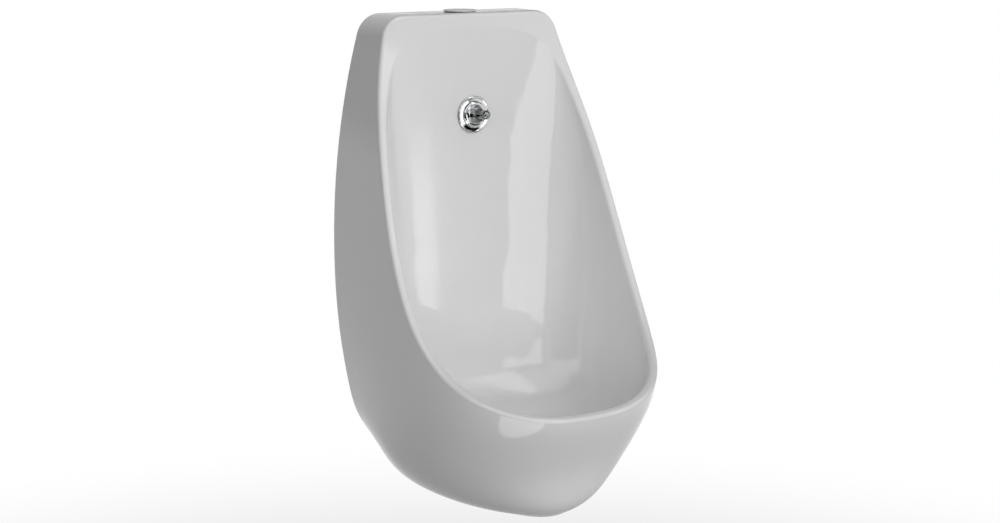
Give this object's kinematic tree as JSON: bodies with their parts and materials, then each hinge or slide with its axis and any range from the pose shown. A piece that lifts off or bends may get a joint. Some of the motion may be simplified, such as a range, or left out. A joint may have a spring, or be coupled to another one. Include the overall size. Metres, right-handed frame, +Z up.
{
  "type": "wall hung urinal",
  "caption": "Wall hung urinal in glazed china with a chrome spray nozzle, a lift-out strainer, a concealed trap and steel hanger brackets.",
  "frame": {"origin": "on the wall plane, midway between the four hanger screws, 470 mm above the lowest point of the china", "axes": "+Z up, +X to the right of someone facing the urinal, the bowl stands out from the wall towards -Y"},
  "size_m": [0.3468, 0.3509, 0.6025],
  "materials": {
    "china": "white glaze",
    "chrome": "polished",
    "brass": "turned",
    "steel": "zinc plated",
    "black_rubber": "matt",
    "grey_rubber": "matt",
    "white_plastic": "moulded",
    "pipe_plastic": "moulded",
    "grey_plastic": "extruded"
  },
  "bodies": {
    "bowl": {"urinal_body": "china", "spreader_rosette": "chrome", "rosette_gasket": "grey_rubber", "spreader_shank": "chrome", "inlet_washer": "black_rubber", "inlet_nut": "brass", "wall_coupling": "brass", "coupling_seal": "black_rubber", "waste_flange": "chrome", "waste_upper_gasket": "grey_rubber", "waste_lower_gasket": "black_rubber", "waste_nut": "white_plastic", "slip_nut": "white_plastic", "slip_washer": "black_rubber", "waste_elbow": "pipe_plastic", "trap_body": "pipe_plastic", "trap_inlet_seal": "black_rubber", "trap_lid": "pipe_plastic", "outlet_pipe": "grey_plastic", "outlet_seal": "black_rubber", "hanger_bracket_left": "steel", "hanger_bracket_right": "steel", "hanger_pads": "grey_rubber", "lower_bracket_left": "steel", "lower_bracket_right": "steel", "fixing_bolts": "steel", "fixing_washers": "steel", "fixing_nuts": "steel"},
    "nozzle": {"spray_nozzle": "chrome", "nozzle_o_ring": "black_rubber"},
    "drain_strainer": {"strainer": "chrome"},
    "trap_cap": {"clean_out_cap": "white_plastic", "clean_out_seal": "black_rubber"},
    "cover": {"top_cover": "white_plastic", "top_cover_seal": "black_rubber"}
  },
  "joints": [
    {"name": "nozzle_swivel", "type": "hinge", "parent": "bowl", "child": "nozzle", "pos_m": [0, -0.07, 0.004], "axis": [0, 1, 0], "range_deg": [-45, 45]},
    {"name": "strainer_lift", "type": "slide", "parent": "bowl", "child": "drain_strainer", "axis": [0, 0, 1], "range_m": [0, 0.06]},
    {"name": "cap_removal", "type": "slide", "parent": "bowl", "child": "trap_cap", "axis": [0, 0, -1], "range_m": [0, 0.03]},
    {"name": "cover_lift", "type": "slide", "parent": "bowl", "child": "cover", "axis": [0, 0, 1], "range_m": [0, 0.03]}
  ]
}
